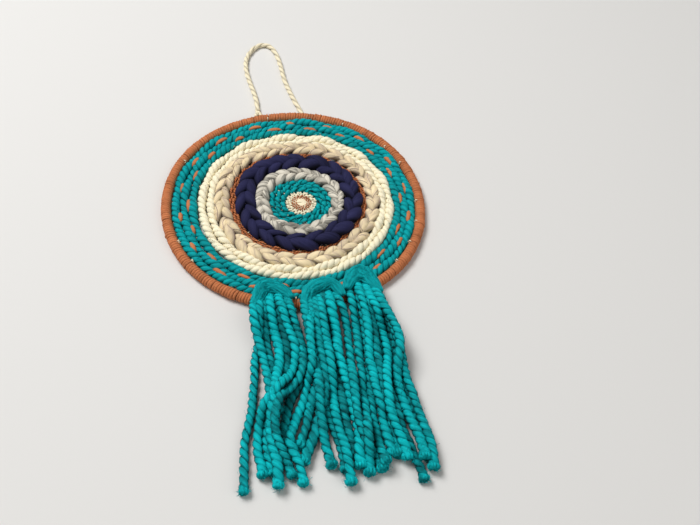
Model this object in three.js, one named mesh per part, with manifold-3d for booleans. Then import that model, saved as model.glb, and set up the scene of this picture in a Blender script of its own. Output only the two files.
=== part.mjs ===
// A round hand-woven wall hanging, lying face up: a yarn-wound hoop, the disc woven inside it,
// three yarn tassels over its lower edge and a slack hanging cord at its top.
// Millimetres. The origin is on the resting surface at the middle of the hoop, +Z is out of the
// face, +Y points to the hanging cord and -Y to the tassels.

import * as THREE from 'three';
import { mergeVertices } from 'three/addons/utils/BufferGeometryUtils.js';
import Module from 'manifold-3d';

// Hoop, wound with yarn
const HOOP_RADIUS = 124;
const HOOP_THICKNESS = 10;
const HOOP_SIDES = 12;
const HOOP_OUT_OF_ROUND = 0.8;

// Woven disc
const GAP = 0.3;
const WEAVE_RADIUS = HOOP_RADIUS - HOOP_THICKNESS / 2 - GAP;
const WARP_CENTRE = new THREE.Vector2(7.5, -1.1);
const HAND_UNEVENNESS = 1.2;
const RING_STEPS = 48;
const EDGE_SHARE = 0.6;
const VALLEY_SHARE = 0.78;

// Tassels
const STRAND_WIDTH = 7.5;
const STRAND_HEIGHT = 7.5;
const STRAND_STEPS = 12;
const STRAND_LIFT = 5.5;
const STRAND_TOP = -112;
const STRAND_SHOULDER = 0.72;
const HEAD_WIDTH = 13;
const HEAD_HEIGHT = 7;
const HEAD_STEPS = 10;
const DRAPE_START = 134;
const DRAPE_END = 158;
const DRAPE_HEIGHT = HOOP_THICKNESS + GAP;

// Hanging cord
const CORD_THICKNESS = 5.2;
const CORD_SIDES = 8;
const CORD_STEPS = 44;
const TIE_LENGTH = 10.6;
const TIE_FLARE = 1.5;

// Each ring of the weave: its inner and outer reach from the warp centre, its height and its rows
const rings = [
  { name: 'teal_inner_rows', inner: 15, outer: 31, height: 7.5, rows: 3, color: '#00807f' },
  { name: 'grey_roving', inner: 31, outer: 44, height: 11, rows: 1, color: '#b3b1ac' },
  { name: 'navy_roving', inner: 44, outer: 61.5, height: 14, rows: 1, color: '#2b2850' },
  { name: 'rust_rows', inner: 61.5, outer: 67, height: 7, rows: 1, color: '#b5653a' },
  { name: 'cream_slub', inner: 67, outer: 80, height: 11, rows: 1, color: '#dccfb2' },
  { name: 'cream_rows', inner: 80, outer: 96, height: 8.5, rows: 2, color: '#efe6cc' },
  { name: 'teal_rows', inner: 96, outer: WEAVE_RADIUS + GAP, height: 8.5, rows: 3, color: '#008f8f' },
];

// Heights along the tassels where a strand's sideways place is given
const stations = [STRAND_TOP, -165, -210, -250];

// Each strand: its x at the four stations, then the x and y of its cut end, and whether it lies on others
const tassels = [
  {
    name: 'tassel_left',
    head: { left: -49, right: -22, foot: -116, crown: -105.5 },
    strands: [
      { hoop: -51, hip: -54.5, knee: -61.5, shin: -72, end: -77, reach: -296, over: 0 },
      { hoop: -47, hip: -51.5, knee: -46.5, shin: -51.5, end: -51, reach: -285, over: 0 },
      { hoop: -36, hip: -34, knee: -42.5, shin: -50, end: -48.5, reach: -292, over: 0 },
      { hoop: -28, hip: -21.5, knee: -43, shin: -60, end: -60.5, reach: -284, over: 1 },
      { hoop: -21, hip: -16.8, knee: -30, shin: -47, end: -38, reach: -288, over: 0 },
    ],
  },
  {
    name: 'tassel_middle',
    head: { left: -5, right: 24, foot: -119, crown: -108.5 },
    strands: [
      { hoop: -3, hip: -7.2, knee: -13.2, shin: -32.5, end: -29, reach: -293, over: 1 },
      { hoop: -1, hip: -3, knee: -6.5, shin: -8, end: -5, reach: -284, over: 0 },
      { hoop: 3, hip: 0.5, knee: 1, shin: -14, end: -25.5, reach: -272, over: 0 },
      { hoop: 7.5, hip: 7, knee: 6, shin: 4.5, end: 7.5, reach: -297, over: 0 },
      { hoop: 16, hip: 15, knee: 18, shin: 21, end: 17, reach: -288, over: 0 },
      { hoop: 25, hip: 25, knee: 25, shin: 26, end: 34.5, reach: -291, over: 0 },
    ],
  },
  {
    name: 'tassel_right',
    head: { left: 38, right: 61, foot: -114, crown: -102 },
    strands: [
      { hoop: 39, hip: 35.5, knee: 34.5, shin: 35, end: 41, reach: -281, over: 0 },
      { hoop: 45, hip: 44.5, knee: 43, shin: 43.5, end: 44.5, reach: -281, over: 1 },
      { hoop: 53, hip: 58, knee: 51.5, shin: 51, end: 55, reach: -286, over: 1 },
      { hoop: 58, hip: 50.5, knee: 54, shin: 58, end: 66, reach: -306, over: 0 },
      { hoop: 62, hip: 71.5, knee: 62, shin: 64.5, end: 69.5, reach: -288, over: 0 },
      { hoop: 60, hip: 66, knee: 71.5, shin: 75.5, end: 75, reach: -295, over: 0 },
    ],
  },
];

// The hanging cord's route from its tie at the left, over its slack top, to the hoop at the right
const cordRoute = [
  [-22, 137.9], [-21.8, 146], [-21.9, 155], [-22.8, 164.5], [-24.2, 174.5], [-25.8, 184.5],
  [-27.1, 194.5], [-27.9, 204.5], [-27.7, 214], [-26.4, 223], [-23.6, 231.4], [-19.2, 238.9],
  [-14.1, 244.7], [-10.4, 247.4], [-6.1, 248.5], [-1.8, 247.9], [1.9, 245.6], [4.6, 242],
  [7.5, 234.8], [9.3, 226], [10.4, 217], [11.1, 207.5], [11.6, 198], [12.2, 188], [13.6, 178],
  [15.4, 168], [17.5, 158], [19.8, 148], [22.4, 138], [24.9, 127.8],
];

const wasm = await Module();
wasm.setup();

const hanging = new THREE.Group();

function addPiece(name, geometry, color, roughness) {
  const material = new THREE.MeshStandardMaterial({ color, roughness, metalness: 0 });
  const mesh = new THREE.Mesh(geometry, material);
  mesh.name = name;
  hanging.add(mesh);
}

// A point of the even plan is moved to where the hand-made piece has it: the hoop is a little out
// of round, the rows wander, and the warp centre is off the middle of the hoop.
function handMadePoint(x, y) {
  const reach = Math.hypot(x, y);
  if (reach === 0) {
    return WARP_CENTRE.clone();
  }
  const angle = Math.atan2(y, x);
  const inside = Math.min(reach / WEAVE_RADIUS, 1);
  const outOfRound = HOOP_OUT_OF_ROUND * (0.7 * Math.cos(2 * angle) - Math.cos(4 * angle));
  const wander = HAND_UNEVENNESS * (0.6 * Math.sin(3 * angle + 1) + 0.4 * Math.sin(5 * angle + 2.2));
  const moved = reach + outOfRound * inside * inside + wander * Math.sin(Math.PI * inside);
  return new THREE.Vector2(Math.cos(angle), Math.sin(angle))
    .multiplyScalar(moved)
    .addScaledVector(WARP_CENTRE, 1 - inside);
}

// A closed ring or disc turned from its profile, with +Z up, then moved as the hand-made piece is
function turnedRing(profile) {
  const points = profile.map(([reach, height]) => new THREE.Vector2(reach, height));
  const geometry = new THREE.LatheGeometry(points, RING_STEPS);
  geometry.rotateX(Math.PI / 2);
  const place = geometry.getAttribute('position');
  for (let i = 0; i < place.count; i += 1) {
    const moved = handMadePoint(place.getX(i), place.getY(i));
    place.setXY(i, moved.x, moved.y);
  }
  return geometry;
}

// The hoop's section is a regular polygon, flat where it rests and where it meets the weave
function hoopProfile() {
  const centreHeight = HOOP_THICKNESS / 2;
  const cornerRadius = centreHeight / Math.cos(Math.PI / HOOP_SIDES);
  const profile = [];
  for (let i = 0; i <= HOOP_SIDES; i += 1) {
    const turn = ((i + 0.5) / HOOP_SIDES) * 2 * Math.PI;
    profile.push([
      HOOP_RADIUS + cornerRadius * Math.cos(turn),
      centreHeight + cornerRadius * Math.sin(turn),
    ]);
  }
  return profile;
}

// A woven ring is flat below and has one crest above each row
function ringProfile({ inner, outer, height, rows }) {
  const near = inner;
  const far = outer - GAP;
  const rowWidth = (far - near) / rows;
  const profile = [[near, 0], [far, 0], [far, height * EDGE_SHARE]];
  for (let row = rows; row > 0; row -= 1) {
    profile.push([near + (row - 0.5) * rowWidth, height]);
    if (row > 1) {
      profile.push([near + (row - 1) * rowWidth, height * VALLEY_SHARE]);
    }
  }
  profile.push([near, height * EDGE_SHARE]);
  profile.push([near, 0]);
  return profile;
}

// The woven centre is a low cushioned disc
function centreProfile(radius, height) {
  return [[0, 0], [radius, 0], [radius, height * EDGE_SHARE], [radius * 0.6, height], [0, height]];
}

// The height of a tassel's underside: it lies over the hoop, then falls to the surface
function drapeHeight(x, y) {
  const fall = THREE.MathUtils.smoothstep(Math.hypot(x, y), DRAPE_START, DRAPE_END);
  return DRAPE_HEIGHT * (1 - fall);
}

// A soft bar swept along a flat curve, crowned above and lifted by the drape
function sweptBar(curve, width, height, steps, liftAt) {
  const geometry = new THREE.BoxGeometry(1, 1, 1, 2, steps, 1);
  const place = geometry.getAttribute('position');
  for (let i = 0; i < place.count; i += 1) {
    const across = place.getX(i);
    const along = 0.5 - place.getY(i);
    const above = place.getZ(i) + 0.5;
    const centre = curve.getPoint(along);
    const heading = curve.getTangent(along);
    const x = centre.x - heading.y * across * width;
    const y = centre.y + heading.x * across * width;
    const crown = across === 0 ? 1 : STRAND_SHOULDER;
    const z = drapeHeight(centre.x, centre.y) + liftAt(along) + above * height * crown;
    place.setXYZ(i, x, y, z);
  }
  return geometry;
}

function solidOf(geometry) {
  const bare = geometry.clone();
  bare.deleteAttribute('normal');
  bare.deleteAttribute('uv');
  const merged = mergeVertices(bare, 1e-4);
  return new wasm.Manifold(new wasm.Mesh({
    numProp: 3,
    vertProperties: merged.getAttribute('position').array,
    triVerts: new Uint32Array(merged.getIndex().array),
  }));
}

function geometryOf(solid) {
  const mesh = solid.getMesh();
  const geometry = new THREE.BufferGeometry();
  geometry.setAttribute('position', new THREE.BufferAttribute(mesh.vertProperties, 3));
  geometry.setIndex(new THREE.BufferAttribute(mesh.triVerts, 1));
  geometry.computeVertexNormals();
  return geometry;
}

function strandBar({ hoop, hip, knee, shin, end, reach, over }) {
  const sideways = [hoop, hip, knee, shin];
  const points = sideways.map((x, i) => new THREE.Vector2(x, stations[i]));
  points.push(new THREE.Vector2(end, reach));
  const curve = new THREE.SplineCurve(points);
  const liftAt = (along) => over * STRAND_LIFT * Math.sin(Math.PI * along) ** 2;
  return sweptBar(curve, STRAND_WIDTH, STRAND_HEIGHT, STRAND_STEPS, liftAt);
}

function headBar({ left, right, foot, crown }) {
  const points = [
    new THREE.Vector2(right, foot),
    new THREE.Vector2((right * 3 + left) / 4, crown - 2.5),
    new THREE.Vector2((right + left) / 2, crown),
    new THREE.Vector2((right + left * 3) / 4, crown - 2.5),
    new THREE.Vector2(left, foot),
  ];
  return sweptBar(new THREE.SplineCurve(points), HEAD_WIDTH, HEAD_HEIGHT, HEAD_STEPS, () => 0);
}

function tasselGeometry({ head, strands }) {
  let tassel = solidOf(headBar(head));
  for (const strand of strands) {
    tassel = tassel.add(solidOf(strandBar(strand)));
  }
  return geometryOf(tassel);
}

function cordGeometry() {
  const height = CORD_THICKNESS / 2;
  const points = cordRoute.map(([x, y]) => new THREE.Vector3(x, y, height));
  const section = new THREE.Shape();
  for (let i = 0; i < CORD_SIDES; i += 1) {
    const turn = ((i + 0.5) / CORD_SIDES) * 2 * Math.PI;
    const corner = [Math.cos(turn) * height, Math.sin(turn) * height];
    if (i === 0) {
      section.moveTo(...corner);
    } else {
      section.lineTo(...corner);
    }
  }
  section.closePath();
  return new THREE.ExtrudeGeometry(section, {
    steps: CORD_STEPS,
    bevelEnabled: false,
    extrudePath: new THREE.CatmullRomCurve3(points),
  });
}

// The tie is a small wedge between the cord's left foot and the hoop
function tieGeometry() {
  const [footX, footY] = cordRoute[0];
  const half = CORD_THICKNESS / 2;
  const outline = new THREE.Shape([
    new THREE.Vector2(footX + half, footY - GAP),
    new THREE.Vector2(footX - half, footY - GAP),
    new THREE.Vector2(footX - half - TIE_FLARE, footY - GAP - TIE_LENGTH),
    new THREE.Vector2(footX + half + TIE_FLARE, footY - GAP - TIE_LENGTH),
  ]);
  return new THREE.ExtrudeGeometry(outline, { depth: CORD_THICKNESS, bevelEnabled: false });
}

addPiece('hoop', turnedRing(hoopProfile()), '#b5653a', 0.9);
addPiece('woven_centre', turnedRing(centreProfile(rings[0].inner - GAP, 6)), '#e8dcbc', 0.9);
for (const ring of rings) {
  addPiece(ring.name, turnedRing(ringProfile(ring)), ring.color, 0.9);
}
for (const tassel of tassels) {
  addPiece(tassel.name, tasselGeometry(tassel), '#009a9e', 0.9);
}
addPiece('hanging_cord', cordGeometry(), '#eadfc4', 0.85);
addPiece('cord_tie', tieGeometry(), '#eadfc4', 0.85);

export default hanging;
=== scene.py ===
"""Round hand-woven wall hanging: a hoop wound with yarn, a disc woven inside it, three yarn
tassels over its lower edge and a slack cotton hanging cord at its top, lying face up."""

import math

import bpy
import numpy as np
from mathutils import Matrix, Vector


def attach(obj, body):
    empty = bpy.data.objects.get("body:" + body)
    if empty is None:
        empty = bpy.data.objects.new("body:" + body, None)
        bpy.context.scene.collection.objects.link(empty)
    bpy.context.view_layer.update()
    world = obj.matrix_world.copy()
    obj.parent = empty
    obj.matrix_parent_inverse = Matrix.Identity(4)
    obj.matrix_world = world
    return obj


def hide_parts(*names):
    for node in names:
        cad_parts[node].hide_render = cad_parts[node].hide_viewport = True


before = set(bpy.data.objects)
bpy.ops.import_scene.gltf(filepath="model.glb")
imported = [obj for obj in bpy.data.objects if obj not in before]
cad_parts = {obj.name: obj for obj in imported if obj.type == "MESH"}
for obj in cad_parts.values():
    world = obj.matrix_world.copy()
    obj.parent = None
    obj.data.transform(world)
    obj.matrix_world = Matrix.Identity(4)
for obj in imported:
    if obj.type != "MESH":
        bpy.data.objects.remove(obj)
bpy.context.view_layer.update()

bl_info = {
    "name": "Woven wall hanging",
    "version": (1, 0, 0),
    "blender": (4, 5, 0),
    "location": "3D View > Sidebar > Wall hanging",
    "description": "Builds a round hand-woven wall hanging with tassels and a hanging cord",
    "category": "Add Mesh",
}

# Lengths in the code are millimetres, and a finished mesh is in metres
MM = 0.001
BODY = "root"
YARN_MAP = "Yarn"
UPRIGHT = np.array([0.0, 0.0, 1.0])

# The plan of the piece, as the solids have it
HOOP_RADIUS = 124.0
HOOP_MIDDLE = 5.0
HOOP_OUT_OF_ROUND = 0.8
WEAVE_RADIUS = 118.7
WARP_CENTRE = np.array([7.5, -1.1])
HAND_UNEVENNESS = 1.2
DRAPE_START = 134.0
DRAPE_END = 158.0
DRAPE_HEIGHT = 10.3

# The yarn wound round the hoop: how far its middle is from the hoop's, half its flattened
# thickness, and the width of a wrap as a share of its place
WINDING_RADIUS = 3.75
WINDING_HALF_THICKNESS = 1.28
WINDING_OVERLAP = 1.17

# Heights at the tassels: the middle of a head's loop, the limit for strands close to the head,
# how much that limit drops under the loop and rises away from it, and the limit everywhere
HEAD_HEIGHT = 14.2
HEAD_CEILING = 13.6
UNDER_LOOP_DROP = 6.0
CEILING_RISE = 12.0
STRAND_CEILING = 26.8

# A strand's middle stays this share of its radius above the surface that it lies on, and strands
# that cross come this close to each other, as a share of their radii
STRAND_CLEARANCE = 1.03
STRAND_SQUEEZE = 0.82

# Loose fibres: their radius, and the height that they stay under
FIBRE_RADIUS = 0.085
FIBRE_CEILING = 26.5

# How plies lie in a yarn, as shares of the yarn's radius: offset, breadth and thickness
BULKY_PLIES = (0.46, 0.68, 0.54)
CORD_PLIES = (0.37, 0.76, 0.63)

# The camera, worked out from the hoop's outline in the photograph: the ways to its right, up and
# back, its place in metres, and its lens for a sensor 36 mm wide
CAMERA_WAYS = (
    (0.98472, -0.16301, 0.06124), (0.09004, 0.77768, 0.62218), (-0.14905, -0.60716, 0.78047),
)
CAMERA_PLACE = (-0.08296, -0.59031, 0.66082)
CAMERA_SENSOR = 36
CAMERA_LENS = 46.286

CORD_ROUTE = [
    (-22, 137.9), (-21.8, 146), (-21.9, 155), (-22.8, 164.5), (-24.2, 174.5), (-25.8, 184.5),
    (-27.1, 194.5), (-27.9, 204.5), (-27.7, 214), (-26.4, 223), (-23.6, 231.4), (-19.2, 238.9),
    (-14.1, 244.7), (-10.4, 247.4), (-6.1, 248.5), (-1.8, 247.9), (1.9, 245.6), (4.6, 242),
    (7.5, 234.8), (9.3, 226), (10.4, 217), (11.1, 207.5), (11.6, 198), (12.2, 188), (13.6, 178),
    (15.4, 168), (17.5, 158), (19.8, 148), (22.4, 138), (24.9, 127.8),
]

# Each tassel's strands in the order they were laid: the strand's tone, which differs at random and
# is lower, as a painted shade, on the strands laid first, which lie under the others; its thickness
# as a share of the usual one; and its route
STRANDS = {
    "left": [
        (0.2, 0.95, [(-41.5, -115), (-42.5, -132), (-43.5, -148), (-44, -159), (-43.5, -169),
         (-42.5, -179), (-42.5, -191), (-43, -204), (-42.5, -216), (-41.5, -230)]),
        (0.12, 1.0, [(-30.5, -117), (-29.5, -137), (-28, -147), (-27.5, -158), (-27.5, -170),
         (-29.5, -183), (-32.5, -196), (-37.5, -209), (-42, -220), (-45, -231)]),
        (0.25, 1.0, [(-25, -117), (-21.5, -131), (-18.5, -144), (-16.5, -155), (-16, -165),
         (-17, -180), (-20, -200), (-27, -212), (-32, -222), (-36, -234), (-39, -246), (-40, -258),
         (-39, -270)]),
        (0.45, 0.92, [(-46, -110), (-46.5, -123), (-47.5, -134), (-49.5, -150), (-52.5, -161),
         (-56, -175), (-58, -193), (-61, -210), (-63, -223), (-66, -233), (-70.5, -247),
         (-72.5, -257), (-73.5, -267), (-74.5, -277), (-75.5, -287), (-76.5, -296)]),
        (0.6, 1.0, [(-49, -113), (-52, -125), (-53, -141), (-51.5, -157), (-49.5, -169),
         (-48.5, -180), (-47.5, -192), (-46.5, -205), (-47.5, -215), (-49, -230), (-53, -245),
         (-54.5, -258), (-54, -270), (-53, -283)]),
        (0.75, 1.12, [(-36.5, -107), (-37, -117), (-37.5, -129), (-36.5, -147), (-34.5, -165),
         (-35.5, -181), (-38.5, -193), (-43.5, -215), (-47, -230), (-49.5, -245), (-50, -260),
         (-48, -275), (-49.5, -295)]),
        (0.35, 0.95, [(-24.5, -112), (-21.5, -122), (-19, -141), (-16, -159), (-15, -176),
         (-16.5, -191), (-23, -204), (-31, -212), (-38, -220), (-43, -230), (-46, -242),
         (-46.5, -252), (-44, -264), (-40, -275), (-37, -287)]),
        (0.7, 1.0, [(-29.5, -107), (-29, -117), (-28.5, -128), (-26, -144), (-22.5, -159),
         (-21, -173), (-22.5, -183), (-25.5, -192), (-32, -202), (-42, -216), (-53, -227),
         (-58.5, -239), (-61.5, -253), (-62, -264), (-60.5, -274), (-60, -284)]),
    ],
    "middle": [
        (0.15, 1.0, [(10.5, -115), (10.5, -135), (11, -145), (11.5, -164), (12, -178), (12, -200),
         (12.5, -225), (12, -240), (12.5, -255), (13, -268), (14, -275)]),
        (0.3, 0.95, [(1, -116), (0, -150), (-1, -190), (-2, -225), (-1, -240), (2, -255),
         (4.5, -272), (5, -288)]),
        (0.25, 0.95, [(-1, -116), (-3, -150), (-4, -185), (-7, -205), (-12, -218), (-16.5, -231),
         (-20.5, -243), (-25, -253), (-30, -263)]),
        (0.35, 1.05, [(3.5, -116), (2.5, -130), (1.5, -143), (0.5, -155), (-0.5, -171),
         (0.5, -188), (0, -202), (-3, -221), (-8, -234), (-12.5, -246), (-17.5, -257),
         (-23.5, -268), (-28, -277)]),
        (0.4, 1.0, [(-5, -115), (-7.5, -128), (-8, -143), (-7.5, -159), (-7.5, -171), (-7, -183),
         (-6, -201), (-6, -211), (-8, -232), (-8, -250), (-7.5, -265), (-5, -283)]),
        (0.6, 1.0, [(6.5, -114), (7, -125), (6.5, -141), (6, -153), (6.5, -170), (6.5, -187),
         (6, -210), (4.5, -225), (4, -240), (5, -255), (7, -270), (7.5, -300)]),
        (0.85, 1.15, [(15, -114), (15.5, -125), (15.5, -142), (16.5, -157), (15.5, -173),
         (15, -183), (18, -210), (19.5, -225), (20, -240), (21, -252), (19.5, -265), (17.5, -275),
         (17, -287)]),
        (0.45, 1.0, [(21.5, -114), (23.5, -127), (26.5, -140), (27.5, -155), (26.5, -165),
         (26, -177), (24.5, -192), (23.5, -203), (23, -213), (22, -229), (21.5, -248),
         (24.5, -266), (31.5, -278), (35, -291)]),
        (0.7, 1.0, [(-1, -116), (-1, -126), (-2.5, -137), (-5.5, -152), (-7.5, -166), (-8.5, -180),
         (-9.5, -194), (-14.5, -206), (-21, -222), (-26, -232), (-31, -243), (-36, -257),
         (-34, -268), (-30.5, -280), (-29.5, -295)]),
    ],
    "right": [
        (0.12, 0.95, [(56, -116), (60, -132), (63.5, -145), (65, -158), (65.5, -170), (65, -182),
         (61, -196), (58, -209), (56, -222), (55.5, -236), (56, -249)]),
        (0.2, 0.95, [(48.5, -117), (49.5, -134), (50.5, -145), (51, -155), (51.5, -165),
         (52, -180), (51, -190), (51, -206), (52, -220), (53, -231), (54.5, -243), (56.5, -256),
         (59.5, -268), (61.5, -280), (64, -292), (65.5, -304)]),
        (0.2, 0.95, [(60, -116), (64, -150), (66, -175), (66, -200), (66.5, -217), (67.5, -235),
         (69.5, -255), (71.5, -272), (71.5, -286)]),
        (0.25, 1.0, [(50, -116), (50, -150), (48.5, -185), (47, -215), (47, -240), (48, -262),
         (49.5, -281)]),
        (0.35, 0.95, [(42.5, -114), (42.5, -130), (43, -140), (43, -151), (42.5, -166),
         (41.5, -179), (40.5, -192), (38.5, -207), (37, -219), (36, -230), (35, -244),
         (35.5, -260), (35.5, -276), (37.5, -288)]),
        (0.4, 0.95, [(57, -115), (58.5, -130), (62, -146), (65, -161), (66.5, -171), (67.5, -181),
         (68, -195), (68.5, -206), (69.5, -218), (71, -230), (72, -241), (74, -257), (76, -270),
         (76, -283), (74, -296)]),
        (0.45, 1.0, [(35.5, -112), (35, -123), (35.5, -138), (35.5, -155), (35, -166),
         (33.5, -184), (33, -196), (32, -207), (30, -218), (30, -230), (29, -243), (26.5, -258),
         (25.5, -268), (25, -279), (23, -294)]),
        (0.5, 1.05, [(55.5, -109), (58, -125), (59.5, -135), (61.5, -145), (65.5, -160),
         (68, -175), (66.5, -189), (63, -199), (60.5, -214), (61, -225), (62, -235), (63.5, -246),
         (65.5, -257), (68, -270), (68.5, -284), (68.5, -288)]),
        (0.8, 1.05, [(50.5, -109), (51, -120), (51.5, -131), (55, -148), (58, -163), (58.5, -178),
         (56.5, -192), (52.5, -205), (50, -218), (49, -230), (48.5, -240), (50, -252), (53, -265),
         (55, -276), (55.5, -285)]),
        (0.65, 1.0, [(43.5, -107), (43.5, -119), (43.5, -131), (44.5, -149), (44, -165),
         (42, -180), (40.5, -192), (41, -203), (40.5, -214), (40.5, -225), (41.5, -236),
         (41.5, -249), (42.5, -264), (43.5, -275), (43, -280)]),
    ],
}

# Each tassel's head, where its strands are looped over the hoop: half the loop's width at its
# crown, and its outer edge
HEADS = {
    "left": (6.2, [
        (-54.8, -128.9), (-51.4, -114.3), (-47.3, -103.7), (-41.8, -99.9), (-35.8, -99.3),
        (-29.1, -101.7), (-22, -107.4), (-17.6, -113.6), (-15.3, -121.1),
    ]),
    "middle": (6.2, [
        (-11, -136.4), (-8.6, -119.5), (-3.4, -109.7), (4.3, -104.9), (12.2, -103),
        (19.4, -103.9), (25.4, -108), (29, -115), (30.8, -124),
    ]),
    "right": (7.8, [
        (29.6, -117.2), (31.3, -108.4), (34.4, -101.8), (38.5, -96.5), (43.2, -93.3),
        (48.1, -92.1), (52.3, -94.4), (56, -97.4), (59.4, -101.8), (61.5, -107.9),
        (63.4, -115.6), (64.6, -123.7),
    ]),
}


# Routes and sweeps

def unit(vectors):
    return vectors / np.linalg.norm(vectors, axis=-1, keepdims=True)


def run_along(path):
    """The distance of each point of a path from its start."""
    legs = np.linalg.norm(np.diff(path, axis=0), axis=1)
    return np.concatenate([[0.0], np.cumsum(legs)])


def tangent_and_run(path, closed):
    """The way that a path points, and how far along it its points are.

    A closed path's run has one value more, where it meets its start again."""
    if closed:
        tangent = unit(np.roll(path, -1, axis=0) - np.roll(path, 1, axis=0))
        return tangent, run_along(np.vstack([path, path[:1]]))
    return unit(np.gradient(path, axis=0)), run_along(path)


def eased(share):
    """Goes from 0 to 1 as share does, with a soft start and end."""
    share = np.clip(share, 0, 1)
    return share * share * (3 - 2 * share)


def even_route(points, step):
    """A smooth route through the points, in even steps."""
    points = np.asarray(points, float)
    ends = np.vstack([2 * points[0] - points[1], points, 2 * points[-1] - points[-2]])
    t = np.linspace(0, 1, 24, endpoint=False)[:, None]
    fine = []
    for a, b, c, d in zip(ends, ends[1:], ends[2:], ends[3:]):
        bend = 2 * a - 5 * b + 4 * c - d
        twist = 3 * b - a - 3 * c + d
        fine.append(b + 0.5 * ((c - a) * t + bend * t**2 + twist * t**3))
    fine = np.vstack(fine + [points[-1:]])
    run = run_along(fine)
    count = max(2, round(run[-1] / step))
    even = np.linspace(0, run[-1], count + 1)
    return np.column_stack([np.interp(even, run, axis) for axis in fine.T])


def softened(values, reach):
    """Values along a route, evened out over a few steps on either side."""
    offsets = np.arange(-3 * reach, 3 * reach + 1)
    weights = np.exp(-0.5 * (offsets / reach) ** 2)
    padded = np.pad(values, 3 * reach, mode="edge")
    return np.convolve(padded, weights / weights.sum(), mode="valid")


def wander(places, rng, waves, amount):
    """A slow unevenness that closes on itself after one turn."""
    total = np.zeros_like(places)
    for wave in waves:
        total += np.sin(wave * places + rng.uniform(0, 2 * math.pi)) / len(waves)
    return amount * total


def between_wraps(values, steps):
    """Values, one for each wrap round a ring, that blend into the next wrap's over its steps."""
    step_in = np.tile(np.arange(steps) / steps, len(values))
    following = np.repeat(np.roll(values, -1), steps)
    return np.repeat(values, steps) * (1 - step_in) + following * step_in


def out_of_round(angle):
    """How far the hoop is outside a true circle."""
    return HOOP_OUT_OF_ROUND * (0.7 * np.cos(2 * angle) - np.cos(4 * angle))


def hand_made(x, y):
    """Moves points of the even plan to where the hand-made piece has them."""
    reach = np.hypot(x, y)
    angle = np.arctan2(y, x)
    inside = np.minimum(reach / WEAVE_RADIUS, 1.0)
    uneven = 0.6 * np.sin(3 * angle + 1) + 0.4 * np.sin(5 * angle + 2.2)
    moved = reach + out_of_round(angle) * inside**2
    moved = moved + HAND_UNEVENNESS * uneven * np.sin(math.pi * inside)
    new_x = moved * np.cos(angle) + WARP_CENTRE[0] * (1 - inside)
    new_y = moved * np.sin(angle) + WARP_CENTRE[1] * (1 - inside)
    return new_x, new_y


def ring_place(reach, angle, height):
    """Points of the weave at a reach and angle from the warp centre."""
    x, y = hand_made(reach * np.cos(angle), reach * np.sin(angle))
    return np.column_stack([x, y, np.broadcast_to(height, x.shape)])


def drape_height(x, y):
    """Height of a tassel's underside: over the hoop, then down to the surface."""
    return DRAPE_HEIGHT * (1 - eased((np.hypot(x, y) - DRAPE_START) / (DRAPE_END - DRAPE_START)))


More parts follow.
